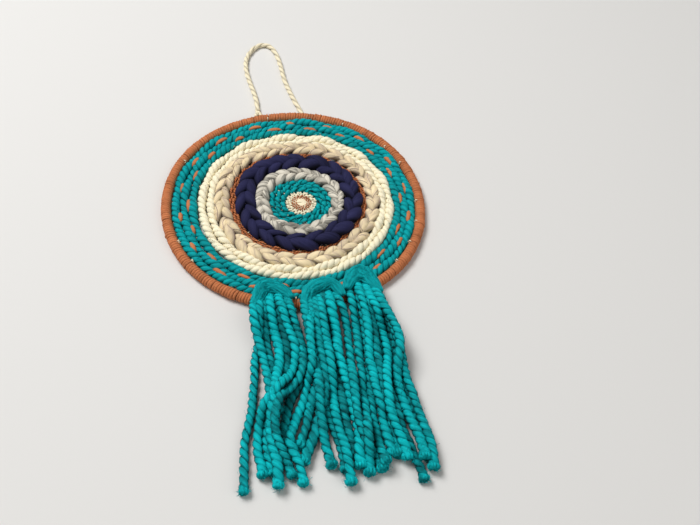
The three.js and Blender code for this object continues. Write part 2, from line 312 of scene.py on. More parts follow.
class StrandMesh:
    """Gathers swept strands into one mesh, whose surface strays in and out by fluff.

    Its yarn map has the distance along each strand and round it, in metres. The attribute tone
    differs from strand to strand, and a low tone darkens the colour, a painted shade where a strand
    lies under others. crest goes from 0 on the yarn's inner side to 1 on its outside, and drops on
    a strand's sides; it sets the painted shade and the painted highlight."""

    def __init__(self, fluff=0.0):
        self.fluff = fluff
        self.rng = np.random.default_rng(41)
        self.points = []
        self.tones = []
        self.crests = []
        self.faces = []
        self.maps = []
        self.count = 0

    def add_points(self, points, tone, crest):
        self.points.append(points)
        self.tones.append(np.broadcast_to(tone, len(points)).astype(float))
        self.crests.append(crest)
        first = self.count
        self.count += len(points)
        return first

    def add_faces(self, faces, maps):
        self.faces.append(faces)
        self.maps.append(maps)

    def sweep(self, path, outward, breadth, thickness, sides, tone, closed=False, rounding=0.0,
              shade=1.0, strand=None):
        """Sweeps an oval along a path. Its thickness points outward, its breadth across.

        shade is how dark the painted shade on its inner side is. Where the oval is a ply, strand
        may be its strand's middle line, upward way, radius and how dark the painted shade on the
        strand's sides is."""
        steps = len(path)
        tangent, run = tangent_and_run(path, closed)
        across = unit(np.cross(tangent, outward))
        outward = np.cross(across, tangent)
        breadth = np.broadcast_to(breadth, steps).astype(float)
        thickness = np.broadcast_to(thickness, steps).astype(float)
        if rounding:
            from_end = np.minimum(run, run[-1] - run)
            share = np.clip(1 - from_end / rounding, 0, 1)
            close = np.sqrt(np.maximum(1 - share**2, 0.06))
            breadth = breadth * close
            thickness = thickness * close
        turn = 2 * math.pi * np.arange(sides) / sides - math.pi / 2
        stray = self.fluff * self.rng.normal(0, 1, (steps, sides))
        sideways = ((breadth[:, None] + stray) * np.cos(turn))[..., None]
        upwards = ((thickness[:, None] + stray) * np.sin(turn))[..., None]
        points = path[:, None] + across[:, None] * sideways + outward[:, None] * upwards
        shade = np.broadcast_to(shade, steps).astype(float)
        # Painted shade: crest is low on the oval's inner side and, on a ply, lower on its strand's
        # sides, where the neighbouring strands would shade it
        crest = 1 - shade[:, None] * (0.5 - 0.5 * np.sin(turn))
        if strand:
            middle, top, radius, edge = strand
            height = np.sum((points - middle[:, None]) * top[:, None], axis=2) / radius[:, None]
            crest = crest * (1 - edge * np.clip(0.6 - height, 0, 1))
        first = self.add_points(points.reshape(-1, 3), tone, crest.ravel())

        rows = steps if closed else steps - 1
        index = first + np.arange(steps * sides).reshape(steps, sides)
        near = index[:rows]
        far = np.roll(index, -1, axis=0)[:rows]
        quads = np.stack([near, far, np.roll(far, -1, axis=1), np.roll(near, -1, axis=1)], axis=-1)
        girth = 2 * math.pi * np.sqrt((breadth.mean() ** 2 + thickness.mean() ** 2) / 2)
        u = np.stack([run[:rows], run[1:rows + 1]], axis=1)
        v = np.arange(sides + 1) / sides * girth
        maps = np.zeros((rows, sides, 4, 2))
        maps[..., 0] = u[:, None, [0, 1, 1, 0]]
        maps[..., 1] = np.stack([v[:-1], v[:-1], v[1:], v[1:]], axis=-1)
        self.add_faces(quads.reshape(-1, 4), maps.reshape(-1, 4, 2))
        if not closed:
            self.cap(path[0], index[0], tone, 0.0, v)
            self.cap(path[-1], index[-1, ::-1], tone, run[-1], v)

    def cap(self, pole, ring, tone, run, v):
        """Closes a strand's end with a fan of triangles."""
        # The pole gets almost no painted shade
        first = self.add_points(pole[None], tone, np.array([0.9]))
        following = np.roll(ring, -1)
        fan = np.stack([np.full(len(ring), first), ring, following], axis=-1)
        maps = np.zeros((len(ring), 3, 2))
        maps[..., 0] = run
        maps[..., 1] = np.stack([(v[:-1] + v[1:]) / 2, v[:-1], v[1:]], axis=-1)
        self.add_faces(fan, maps)

    def ply_up(self, path, radius, turn_length, tone, sides=10, closed=False, start=0.0,
               rounding=0.0, blunt=0.0, shape=BULKY_PLIES, groove_shade=1.0, edge=0.0):
        """Twists two plies round each other along a path, as yarn and cord are made.

        Over the length blunt, at the far end, they draw together into one soft cut end, where their
        painted shade fades. The last two settings are how dark the painted shade in the grooves
        between plies and on the strand's sides is."""
        offset, breadth, thickness = shape
        radius = np.broadcast_to(radius, len(path)).astype(float)
        tangent, run = tangent_and_run(path, closed)
        if closed:
            turns = max(1, round(run[-1] / turn_length))
            twist = 2 * math.pi * turns * run[:-1] / run[-1]
        else:
            twist = 2 * math.pi * run / turn_length
        drawn = eased(1 - (run[-1] - run) / blunt) if blunt else np.zeros(len(path))
        side = unit(np.cross(tangent, UPRIGHT))
        top = np.cross(side, tangent)
        start = np.broadcast_to(start, len(path))
        for ply in (0, 1):
            angle = (twist + start + math.pi * ply)[:, None]
            outward = np.cos(angle) * side + np.sin(angle) * top
            centre = path + outward * (radius * offset * (1 - 0.6 * drawn))[:, None]
            ply_tone = tone + 0.08 * (ply - 0.5)
            self.sweep(centre, outward, radius * breadth * (1 + 0.35 * drawn),
                       radius * thickness * (1 + 0.45 * drawn), sides, ply_tone, closed, rounding,
                       groove_shade * (1 - 0.7 * drawn), (path, top, radius, edge * (1 - drawn)[:, None]))

    def mesh(self, name):
        """The finished mesh, in metres. What would sink below the surface lies flat on it."""
        mesh = bpy.data.meshes.new(name)
        points = np.vstack(self.points) * MM
        points[:, 2] = np.maximum(points[:, 2], 0)
        corners = np.concatenate([faces.ravel() for faces in self.faces])
        sizes = np.concatenate([np.full(len(faces), faces.shape[1]) for faces in self.faces])
        starts = np.concatenate([[0], np.cumsum(sizes)[:-1]])
        mesh.vertices.add(len(points))
        mesh.vertices.foreach_set("co", points.ravel())
        mesh.loops.add(len(corners))
        mesh.loops.foreach_set("vertex_index", corners.astype(np.int32))
        mesh.polygons.add(len(sizes))
        mesh.polygons.foreach_set("loop_start", starts.astype(np.int32))
        mesh.polygons.foreach_set("use_smooth", np.ones(len(sizes), bool))
        yarn_map = mesh.uv_layers.new(name=YARN_MAP)
        maps = np.concatenate([m.reshape(-1, 2) for m in self.maps]) * MM
        yarn_map.data.foreach_set("uv", maps.ravel())
        for attribute, values in (("tone", self.tones), ("crest", self.crests)):
            made = mesh.attributes.new(attribute, "FLOAT", "POINT")
            made.data.foreach_set("value", np.concatenate(values).astype(np.float32))
        mesh.update(calc_edges=True)
        mesh.validate()
        return mesh


def stray_fibres(work, rng, count, length):
    """Loose fibres that stand out of the wool here and there."""
    points = np.vstack(work.points)
    outside = np.flatnonzero(np.concatenate(work.crests) > 0.75)
    for root in points[rng.choice(outside, count)]:
        heading = rng.uniform(0, 2 * math.pi)
        away = np.array([math.cos(heading), math.sin(heading), rng.uniform(0.0, 0.6)])
        away = away * length * rng.uniform(0.4, 1)
        curl = rng.normal(0, 0.2 * length, 3)
        line = np.array([root - 0.1 * away, root + 0.5 * away + curl, root + away - 0.5 * curl])
        path = even_route(line, length / 3)
        path[:, 2] = np.clip(path[:, 2], 0.2, FIBRE_CEILING)
        # The way outward leans a little, because no fibre may point along it
        work.sweep(path, (0.1, 0, 1), FIBRE_RADIUS, FIBRE_RADIUS, 3, rng.uniform(0.2, 1.1),
                   shade=0.4)


def add_piece(name, work, material, slot, *nodes):
    """Puts finished strands in the scene as a piece on the CAD body, in place of its solids."""
    piece = bpy.data.objects.new(name, work.mesh(name))
    bpy.context.scene.collection.objects.link(piece)
    piece.data.materials.append(material)
    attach(piece, BODY)
    if nodes:
        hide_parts(*nodes)
    return piece


# Shader nodes

def join(tree, node, socket, value):
    """Links a socket to another node's, or sets its value."""
    if isinstance(value, bpy.types.NodeSocket):
        tree.links.new(value, node.inputs[socket])
    else:
        node.inputs[socket].default_value = value


def math_node(tree, operation, first, second=0.0, third=0.0, clamp=False):
    node = tree.nodes.new("ShaderNodeMath")
    node.operation = operation
    node.use_clamp = clamp
    join(tree, node, 0, first)
    join(tree, node, 1, second)
    join(tree, node, 2, third)
    return node.outputs[0]


def mix_node(tree, share, first, second):
    node = tree.nodes.new("ShaderNodeMix")
    node.data_type = "RGBA"
    join(tree, node, 0, share)
    join(tree, node, 6, first)
    join(tree, node, 7, second)
    return node.outputs[2]


def ramp_node(tree, value, low, high):
    """Goes smoothly from 0 at low to 1 at high."""
    node = tree.nodes.new("ShaderNodeMapRange")
    node.interpolation_type = "SMOOTHSTEP"
    join(tree, node, 0, value)
    join(tree, node, 1, low)
    join(tree, node, 2, high)
    return node.outputs[0]


def noise_node(tree, vector, scale, detail, roughness=0.55):
    node = tree.nodes.new("ShaderNodeTexNoise")
    join(tree, node, "Vector", vector)
    join(tree, node, "Scale", scale)
    join(tree, node, "Detail", detail)
    join(tree, node, "Roughness", roughness)
    return node.outputs[0]


def attribute_node(tree, name):
    node = tree.nodes.new("ShaderNodeAttribute")
    node.attribute_name = name
    return node.outputs["Fac"]


def new_group(name, takes, gives):
    """A shader node group with the given inputs, as name and default, and outputs."""
    group = bpy.data.node_groups.new(name, "ShaderNodeTree")
    for label, default in takes:
        kind = "NodeSocketFloat" if isinstance(default, float) else "NodeSocketColor"
        socket = group.interface.new_socket(label, in_out="INPUT", socket_type=kind)
        socket.default_value = default
    for label, kind in gives:
        group.interface.new_socket(label, in_out="OUTPUT", socket_type=kind)
    entry = group.nodes.new("NodeGroupInput")
    leave = group.nodes.new("NodeGroupOutput")
    return group, entry.outputs, leave


def along_the_yarn(tree, along, across, slant):
    """The yarn map with its two ways scaled, and the pattern slanted round the strand.

    Strands of different tone get different parts of the pattern."""
    yarn_map = tree.nodes.new("ShaderNodeUVMap")
    yarn_map.uv_map = YARN_MAP
    parts = tree.nodes.new("ShaderNodeSeparateXYZ")
    tree.links.new(yarn_map.outputs[0], parts.inputs[0])
    leaned = math_node(tree, "MULTIPLY_ADD", parts.outputs[0], slant, parts.outputs[1])
    joined = tree.nodes.new("ShaderNodeCombineXYZ")
    join(tree, joined, 0, math_node(tree, "MULTIPLY", parts.outputs[0], along))
    join(tree, joined, 1, math_node(tree, "MULTIPLY", leaned, across))
    join(tree, joined, 2, math_node(tree, "MULTIPLY", attribute_node(tree, "tone"), 7.0))
    return joined.outputs[0]


def fibre_group():
    """Fine fibres along a strand."""
    takes = [("Along", 120.0), ("Across", 1500.0), ("Slant", 0.3)]
    gives = [("Fibre", "NodeSocketFloat"), ("Height", "NodeSocketFloat")]
    group, takes, leave = new_group("Yarn fibre", takes, gives)
    place = along_the_yarn(group, takes["Along"], takes["Across"], takes["Slant"])
    fine = noise_node(group, place, 1.0, 3.0, 0.6)
    coarse = noise_node(group, place, 0.35, 2.0)
    height = math_node(group, "MULTIPLY_ADD", coarse, 1.4, fine)
    both = math_node(group, "MULTIPLY_ADD", math_node(group, "SUBTRACT", coarse, 0.5), 0.9, fine)
    join(group, leave, "Fibre", both)
    join(group, leave, "Height", height)
    return group


def streak_group():
    """Thin lines along a strand, as where a roving carries a second colour."""
    takes = [("Along", 30.0), ("Across", 400.0), ("Slant", 0.5), ("Width", 0.04)]
    group, takes, leave = new_group("Roving streaks", takes, [("Streak", "NodeSocketFloat")])
    place = along_the_yarn(group, takes["Along"], takes["Across"], takes["Slant"])
    noise = noise_node(group, place, 1.0, 2.0)
    off_line = math_node(group, "ABSOLUTE", math_node(group, "SUBTRACT", noise, 0.5))
    share = math_node(group, "DIVIDE", off_line, takes["Width"])
    join(group, leave, "Streak", math_node(group, "SUBTRACT", 1.0, share, clamp=True))
    return group


def wool_group():
    """Wool's colour with painted light: painted shade between the plies, on a strand's sides and
    where its tone is low, a painted highlight on the crests, and never quite even.
    """
    takes = [
        ("Deep", (0, 0.1, 0.1, 1)), ("Base", (0, 0.2, 0.2, 1)), ("Bright", (0, 0.4, 0.4, 1)),
        ("Fibre", 0.5), ("Drift", 0.5), ("Drift Scale", 60.0),
    ]
    gives = [("Color", "NodeSocketColor"), ("Roughness", "NodeSocketFloat")]
    group, takes, leave = new_group("Wool colour and painted light", takes, gives)
    place = group.nodes.new("ShaderNodeTexCoord").outputs["Object"]
    drift = noise_node(group, place, takes["Drift Scale"], 2.0)
    drift = math_node(group, "MULTIPLY", math_node(group, "SUBTRACT", drift, 0.5), takes["Drift"])
    fibre = math_node(group, "SUBTRACT", takes["Fibre"], 0.5)
    fibre = math_node(group, "MULTIPLY", fibre, 1.3)
    tone = math_node(group, "ADD", attribute_node(group, "tone"), drift)
    lit = math_node(group, "ADD", tone, fibre, clamp=True)
    # Painted shade: the colour goes towards the shaded one where crest is low, in the grooves and
    # on a strand's sides, and where the tone is low
    outside = ramp_node(group, attribute_node(group, "crest"), 0.38, 1.0)
    outside = math_node(group, "MULTIPLY", outside, ramp_node(group, tone, -0.45, 0.45))
    body = mix_node(group, outside, takes["Deep"], takes["Base"])
    # Painted highlight on the crests, stronger where the tone, drift and fibre are high
    highlight_share = math_node(group, "MULTIPLY", lit, outside)
    join(group, leave, "Color", mix_node(group, highlight_share, body, takes["Bright"]))
    roughness = math_node(group, "MULTIPLY_ADD", takes["Fibre"], -0.25, 0.95)
    join(group, leave, "Roughness", roughness)
    return group


def placed_group(tree, name, make, **values):
    """Places a shared group, made at its first use, with the given values."""
    node = tree.nodes.new("ShaderNodeGroup")
    node.node_tree = bpy.data.node_groups.get(name) or make()
    for label, value in values.items():
        join(tree, node, label.replace("_", " "), value)
    return node


def opaque(colour, share=1.0):
    return (*(min(1.0, part * share) for part in colour), 1)


def wool_material(name, colour, shade_share=0.4, highlight_share=1.5, along=120.0, across=1500.0, slant=0.3,
                  drift=0.5, drift_scale=60.0, bump=0.5, fuzz=0.25, streaks=None):
    """A wool or cotton yarn. The two shares after the colour scale it for the painted shade in the
    grooves and the painted highlight on the crests. streaks is the second colour, its scale along
    and across, its slant, its width and its share."""
    material = bpy.data.materials.new(name)
    material.use_nodes = True
    tree = material.node_tree
    shader = tree.nodes["Principled BSDF"]
    fibre = placed_group(tree, "Yarn fibre", fibre_group, Along=along, Across=across, Slant=slant)
    wool = placed_group(
        tree, "Wool colour and painted light", wool_group, Deep=opaque(colour, shade_share), Base=opaque(colour),
        Bright=opaque(colour, highlight_share), Fibre=fibre.outputs["Fibre"], Drift=drift,
        Drift_Scale=drift_scale,
    )
    finish = wool.outputs["Color"]
    if streaks:
        second, streak_along, streak_across, streak_slant, width, share = streaks
        lines = placed_group(tree, "Roving streaks", streak_group, Along=streak_along,
                             Across=streak_across, Slant=streak_slant, Width=width)
        mask = math_node(tree, "MULTIPLY", lines.outputs["Streak"], share)
        finish = mix_node(tree, mask, finish, opaque(second))
    tree.links.new(finish, shader.inputs["Base Color"])
    tree.links.new(wool.outputs["Roughness"], shader.inputs["Roughness"])
    relief = tree.nodes.new("ShaderNodeBump")
    relief.inputs["Strength"].default_value = bump
    relief.inputs["Distance"].default_value = 0.0004
    tree.links.new(fibre.outputs["Height"], relief.inputs["Height"])
    tree.links.new(relief.outputs[0], shader.inputs["Normal"])
    shader.inputs["Specular IOR Level"].default_value = 0.15
    shader.inputs["Sheen Weight"].default_value = fuzz
    shader.inputs["Sheen Roughness"].default_value = 0.5
    shader.inputs["Sheen Tint"].default_value = opaque(colour, 2.0)
    return material


# Sizes and colours that a user would change

def colour_property(name, description, default):
    return bpy.props.FloatVectorProperty(
        name=name, description=description, default=default, subtype="COLOR", size=3, min=0, max=1
    )


def length_property(name, description, millimetres):
    return bpy.props.FloatProperty(
        name=name, description=description, default=millimetres * MM, min=0.0001, unit="LENGTH"
    )


class HangingYarns(bpy.types.PropertyGroup):
    """The colours of the yarns and rovings"""

    teal: colour_property("Teal", "Bulky yarn of the outer rows and tassels", (0.0, 0.218, 0.233))
    cream: colour_property("Cream", "Bulky yarn of the cream rows", (0.92, 0.82, 0.6))
    slub: colour_property("Slub", "Thick-and-thin cream roving", (0.7, 0.57, 0.362))
    mauve: colour_property("Mauve", "Binding thread of the slub roving", (0.30, 0.21, 0.21))
    navy: colour_property("Navy", "Plush roving", (0.0125, 0.0125, 0.042))
    grey: colour_property("Grey", "Variegated roving", (0.44, 0.41, 0.345))
    rust: colour_property("Rust", "Worsted yarn of the hoop and fine rows", (0.44, 0.15, 0.06))
    cotton: colour_property("Cotton", "Warp and hanging cord", (0.84, 0.75, 0.54))


class HangingSizes(bpy.types.PropertyGroup):
    """The sizes of the yarns and cords"""

    wrap_width: length_property("Hoop yarn", "Width of one wrap round the hoop", 2.7)
    strand: length_property("Tassel yarn", "Thickness of a tassel's yarn", 8.3)
    strand_turn: length_property("Tassel twist", "Length of one turn of a tassel's yarn", 14.4)
    row_turn: length_property("Row twist", "Length of one turn of the bulky rows' yarn", 13.5)
    cord: length_property("Hanging cord", "Thickness of the hanging cord", 5.2)
    cord_turn: length_property("Cord twist", "Length of one turn of the hanging cord", 20)
    warps: bpy.props.IntProperty(
        name="Warps", description="Warp threads from the centre to the hoop", default=28, min=8
    )


class HangingStage(bpy.types.PropertyGroup):
    """The floor and the lights"""

    floor: colour_property("Floor", "Colour of the plain floor", (0.72, 0.71, 0.69))
    key_power: bpy.props.FloatProperty(
        name="Main light", description="Power of the large soft light", default=68, unit="POWER"
    )
    room_light: bpy.props.FloatProperty(
        name="Room light", description="Strength of the light from all round", default=0.22, min=0
    )


# Operators, one for each piece or group of like pieces

class AddCamera(bpy.types.Operator):
    """Add the camera, standing where the photograph was taken from"""

    bl_idname = "wall_hanging.camera"
    bl_label = "Camera"

    def execute(self, context):
        bpy.ops.object.camera_add()
        camera = context.object
        camera.name = "camera"
        place = Matrix(CAMERA_WAYS).transposed().to_4x4()
        place.translation = CAMERA_PLACE
        camera.matrix_world = place
        camera.data.sensor_width = CAMERA_SENSOR
        camera.data.lens = CAMERA_LENS
        camera.data.clip_start = 0.05
        camera.data.clip_end = 20
        context.scene.camera = camera
        return {"FINISHED"}


class AddHangingCord(bpy.types.Operator):
    """Lay the slack hanging cord and tie its feet to the hoop"""

    bl_idname = "wall_hanging.hanging_cord"
    bl_label = "Hanging cord"

    def execute(self, context):
        sizes = context.scene.hanging_sizes
        radius = sizes.cord / MM / 2
        turn = sizes.cord_turn / MM
        cotton = wool_material(
            "cotton cord", context.scene.hanging_yarns.cotton, shade_share=0.72, highlight_share=1.2,
            across=2200.0, slant=0.4, drift=0.4, bump=0.6, fuzz=0.1,
        )
        route = even_route([(x, y, radius) for x, y in CORD_ROUTE], 1.0)
        rope = StrandMesh()
        rng = np.random.default_rng(2)
        uneven = 1 + softened(rng.normal(0, 0.16, len(route)), 6)
        start = softened(rng.normal(0, 2.0, len(route)), 8)
        rope.ply_up(route, radius * np.minimum(uneven, 1), turn, 0.5, start=start,
                    shape=CORD_PLIES)
        piece = add_piece("hanging_cord_rope", rope, cotton, "cotton_cord", "hanging_cord")
        tie = StrandMesh()
        x, y = CORD_ROUTE[0]
        for lean, lift, tone in ((-2.6, 0.0, 0.45), (2.6, 0.6, 0.55)):
            foot = [
                (x + lean * 0.1, y - 0.2, radius), (x + lean * 0.5, y - 4, radius + 0.4),
                (x + lean * 0.9, y - 7.5, radius + 1.2 + lift), (x + lean, y - 10.8, 4.6 + lift),
            ]
            tie.ply_up(even_route(foot, 0.9), radius * 0.74, turn * 0.7, tone, sides=8,
                       rounding=1.2, shape=CORD_PLIES)
        knot = add_piece("cord_feet", tie, cotton, "cotton_cord", "cord_tie")
        return {"FINISHED"}


class AddHoop(bpy.types.Operator):
    """Wind yarn closely round the hoop"""

    bl_idname = "wall_hanging.hoop"
    bl_label = "Wound hoop"

    core_thickness: length_property("Core", "Thickness of the hoop inside its winding", 6.4)

    def execute(self, context):
        rng = np.random.default_rng(11)
        rust = context.scene.hanging_yarns.rust
        width = context.scene.hanging_sizes.wrap_width / MM
        wound = wool_material("wound rust yarn", rust, shade_share=0.45, along=400.0, across=1600.0,
                              slant=0.6, drift=0.7, drift_scale=35.0, bump=0.7)
        bpy.ops.object.select_all(action="DESELECT")
        bpy.ops.mesh.primitive_torus_add(
            major_segments=144, minor_segments=12, major_radius=HOOP_RADIUS * MM,
            minor_radius=self.core_thickness / 2, location=(0, 0, HOOP_MIDDLE * MM),
        )
        core = context.object
        bpy.ops.object.transform_apply(location=True)
        bpy.ops.object.shade_smooth()
        for vertex in core.data.vertices:
            x, y = hand_made(vertex.co.x / MM, vertex.co.y / MM)
            vertex.co.x = x * MM
            vertex.co.y = y * MM
        core.name = "hoop_core"
        core.data.materials.append(wound)
        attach(core, BODY)

        wraps = round(2 * math.pi * HOOP_RADIUS / width)
        steps = 14
        sides = 8
        share = np.arange(wraps * steps) / (wraps * steps)
        # Wraps differ a little in place, height and thickness, and one in twelve or so stands out
        jitter = between_wraps(rng.normal(0, 0.3, wraps), steps)
        standing_out = np.where(rng.random(wraps) < 0.08, 0.45, 0.0)
        proud = between_wraps(standing_out + rng.normal(0, 0.06, wraps), steps)
        plump = between_wraps(1 + rng.normal(0, 0.06, wraps), steps)
        around = 2 * math.pi * wraps * share
        angle = 2 * math.pi * share + jitter / HOOP_RADIUS
        radial = np.column_stack([np.cos(angle), np.sin(angle), np.zeros_like(angle)])
        outward = radial * np.cos(around)[:, None] + UPRIGHT * np.sin(around)[:, None]
        reach = HOOP_RADIUS + out_of_round(angle)
        path = radial * reach[:, None] + UPRIGHT * HOOP_MIDDLE
        path = path + outward * (WINDING_RADIUS + proud)[:, None]
        winding = StrandMesh(0.05)
        tones = np.repeat(0.5 + between_wraps(rng.normal(0, 0.16, wraps), steps), sides)
        winding.sweep(path, outward, width / 2 * WINDING_OVERLAP * plump,
                      WINDING_HALF_THICKNESS * plump, sides, tones, closed=True)
        stray_fibres(winding, rng, 700, 2.5)
        add_piece("hoop_winding", winding, wound, "rust_yarn", "hoop")
        return {"FINISHED"}


def woven_ring(rng, warps, reaches, radius, middle, lift, turn, tone=0.5, deepen=0.0, sink=0.0,
               step=1.15, sides=10, uneven=0.35, fluff=0.0):
    """Rows of plain weave side by side, each over one warp and under the next all the way round.

    middle and lift are the height of a row's middle and its rise over a warp. From row to row the
    tone gains deepen and the middle drops by sink."""
    work = StrandMesh(fluff)
    for row, reach in enumerate(reaches):
        count = round(2 * math.pi * reach / step)
        angle = 2 * math.pi * np.arange(count) / count
        wave = np.cos(warps / 2 * angle) * (-1) ** row
        wave = wave * (1.4 - 0.4 * wave**2)
        drift = wander(angle, rng, (5, 9, 14, 23), uneven)
        plump = 1 + 0.07 * wave + wander(angle, rng, (8, 13, 31, 43), 0.1)
        height = middle - sink * row + lift * wave
        height = height + wander(angle, rng, (7, 12, 19), uneven * 0.6)
        height = np.maximum(height, STRAND_CLEARANCE * radius * plump)
        path = ring_place(reach + drift, angle, height)
        start = rng.uniform(0, 6) + wander(angle, rng, (3, 8, 21), 0.9)
        # Painted shade in the grooves between plies and on each row's sides
        work.ply_up(path, radius * plump, turn, tone + deepen * row, sides=sides, closed=True,
                    start=start, groove_shade=0.85, edge=0.5)
    return work


class AddWarp(bpy.types.Operator):
    """String the cotton warp across the hoop and show where it passes over the hoop's edge"""

    bl_idname = "wall_hanging.warp"
    bl_label = "Warp"

    thread: length_property("Warp thread", "Thickness of a warp thread", 1.3)

    def execute(self, context):
        rng = np.random.default_rng(5)
        warps = context.scene.hanging_sizes.warps
        cotton = wool_material("warp cotton", context.scene.hanging_yarns.cotton, shade_share=0.6,
                               highlight_share=1.2, along=300.0, across=3000.0, slant=0.5, fuzz=0.1)
        radius = self.thread / MM / 2
        work = StrandMesh()
        # Half a thread, as reach from the centre and height. Over half of them show on the hoop
        showing = [(60, 4.6), (116.5, 5.2), (118.4, 8.6), (120.3, 10.4), (122, 9.6)]
        hidden = [(60, 4.6), (114, 4.8), (117, 5.0), (119, 4.9), (120, 4.8)]
        for thread in range(warps // 2):
            angle = 2 * math.pi * (thread + 0.5) / warps
            far, near = [showing if rng.random() < 0.55 else hidden for _ in range(2)]
            pile = 0.06 * thread
            line = [(-reach, height) for reach, height in reversed(near)]
            line += [(-15, 4.6), (-4, 5.6 + pile), (0.3, 5.9 + pile), (4, 5.6 + pile), (15, 4.6)]
            line += far
            reach, height = np.array(line, float).T
            x, y = hand_made(reach * math.cos(angle), reach * math.sin(angle))
            route = even_route(np.column_stack([x, y, height]), 2.5)
            work.sweep(route, UPRIGHT, radius, radius, 6, rng.uniform(0.4, 0.7), rounding=0.6)
        add_piece("warp_threads", work, cotton, "cotton_cord")
        return {"FINISHED"}


class AddCentre(bpy.types.Operator):
    """Weave the first rows where the warps cross: fine rust rows, then cream"""

    bl_idname = "wall_hanging.centre"
    bl_label = "Centre"

    def execute(self, context):
        rng = np.random.default_rng(21)
        yarns = context.scene.hanging_yarns
        warps = context.scene.hanging_sizes.warps
        fine = wool_material("fine rust yarn", yarns.rust, shade_share=0.6, highlight_share=1.4, along=600.0,
                             across=3000.0, slant=0.5)
        first = woven_ring(rng, warps, (5.4, 7.2, 9.0), radius=0.85, middle=5.2, lift=0.95,
                           turn=6.0, sink=0.2, step=0.35, sides=6, uneven=0.08)
        add_piece("centre_rust_rows", first, fine, "rust_yarn")
        cream = wool_material("cream centre yarn", yarns.cream, shade_share=0.5, highlight_share=1.15, along=150.0,
                              across=1800.0)
        rows = woven_ring(rng, warps, (11.3, 13.6), radius=1.5, middle=3.6, lift=0.9, turn=7.0,
                          step=0.6, sides=8, uneven=0.12)
        add_piece("centre_cream_rows", rows, cream, "cream_yarn", "woven_centre")
        return {"FINISHED"}


class AddWovenRows(bpy.types.Operator):
    """Weave the rows of plied yarn: teal, cream and fine rust"""

    bl_idname = "wall_hanging.woven_rows"
    bl_label = "Woven rows"

    def execute(self, context):
        yarns = context.scene.hanging_yarns
        warps = context.scene.hanging_sizes.warps
        rng = np.random.default_rng(7)
        turn = context.scene.hanging_sizes.row_turn / MM
        teal = wool_material("teal rows", yarns.teal, shade_share=0.12, highlight_share=2.0, drift=0.8)
        cream = wool_material("cream rows", yarns.cream, shade_share=0.78, highlight_share=1.15, fuzz=0.15)
        rust = wool_material("fine rust rows", yarns.rust, shade_share=0.55, along=400.0, across=2500.0,
                             slant=0.5, drift=0.6)
        outer = woven_ring(rng, warps, (100.0, 107.6, 115.0), radius=4.25, middle=5.0, lift=0.9,
                           turn=turn, tone=0.42, deepen=0.08, fluff=0.12)
        stray_fibres(outer, rng, 600, 4.5)
        add_piece("teal_bulky_rows", outer, teal, "teal_yarn", "teal_rows")
        rows = woven_ring(rng, warps, (84.0, 91.8), radius=4.3, middle=5.1, lift=1.2, turn=turn,
                          tone=0.5, deepen=0.1, fluff=0.12)
        stray_fibres(rows, rng, 250, 4.0)
        add_piece("cream_bulky_rows", rows, cream, "cream_yarn", "cream_rows")
        inner = woven_ring(rng, warps, (17.8, 23.0, 28.3), radius=3.0, middle=4.0, lift=1.15,
                           turn=9.5, tone=0.45, deepen=0.05, step=1.0, uneven=0.25, fluff=0.1)
        stray_fibres(inner, rng, 250, 3.0)
        add_piece("teal_fine_rows", inner, teal, "teal_yarn", "teal_inner_rows")
        fine = woven_ring(rng, 2 * warps, (61.8, 63.4, 65.0, 66.6), radius=1.35, middle=5.7,
                          lift=1.3, turn=5.5, tone=0.4, deepen=0.1, step=0.9, sides=6,
                          uneven=0.15)
        add_piece("fine_rust_rows", fine, rust, "rust_yarn", "rust_rows")
        return {"FINISHED"}


def wrapped_row(work, rng, reach, slant, half_height, breadth, thickness, wraps, tone, lumps,
                binding=None):
    """A roving wrapped round the warps turn by turn, so that each turn lies slanted on top.

    slant is how far a turn leans to either side. binding is the mesh for the fine threads that
    wind round a bound roving."""
    steps = 18
    sides = 12
    count = wraps * steps
    share = np.arange(count) / count
    around = 2 * math.pi * wraps * share

    def per_wrap(middle, spread):
        return between_wraps(middle + rng.normal(0, spread, wraps), steps)

    shift = per_wrap(0, 0.8 * lumps / wraps)
    angle = (around - 1.5 * np.cos(around)) / wraps + 2 * math.pi * shift
    sideways = slant * np.cos(around)
    rise = (half_height - thickness) * np.sin(around)
    plump = per_wrap(1, lumps) * (1 + 0.24 * np.sin(around))
    sideways = sideways + per_wrap(0, 4 * lumps)
    rise = rise + per_wrap(0, 5 * lumps) * np.maximum(np.sin(around), 0)
    path = ring_place(reach + sideways, angle, half_height + rise)
    middle = ring_place(np.full(count, reach), angle, half_height)
    outward = unit(path - middle)
    tones = np.repeat(tone + per_wrap(0, 0.15), sides)
    work.sweep(path, outward, breadth * plump, thickness * plump, sides, tones, closed=True)
    if binding is None:
        return
    across = unit(np.cross(np.roll(path, -1, axis=0) - np.roll(path, 1, axis=0), outward))
    for thread in range(2):
        winding = 2 * math.pi * (round(0.6 * wraps) * share + thread / 2)
        winding = winding + wander(2 * math.pi * share, rng, (13, 29, 47), 1.0)
        beside = across * (np.cos(winding) * 1.01 * breadth * plump)[:, None]
        above = outward * (np.sin(winding) * 1.01 * thickness * plump)[:, None]
        binding.sweep(path + beside + above, outward, 0.27, 0.2, 5, rng.uniform(0.2, 0.8),
                      closed=True)


def roving_ring(rng, reaches, wraps, breadths, slant, half_height, thickness, tone=0.5, lumps=0.15,
                binding=None):
    """Two rows of wrapped roving whose turns lean towards each other, like a braid's."""
    work = StrandMesh()
    for row, lean in enumerate((slant, -slant)):
        wrapped_row(work, rng, reaches[row], lean, half_height, breadths[row], thickness,
                    wraps[row], tone + 0.05 * row, lumps, binding)
    return work


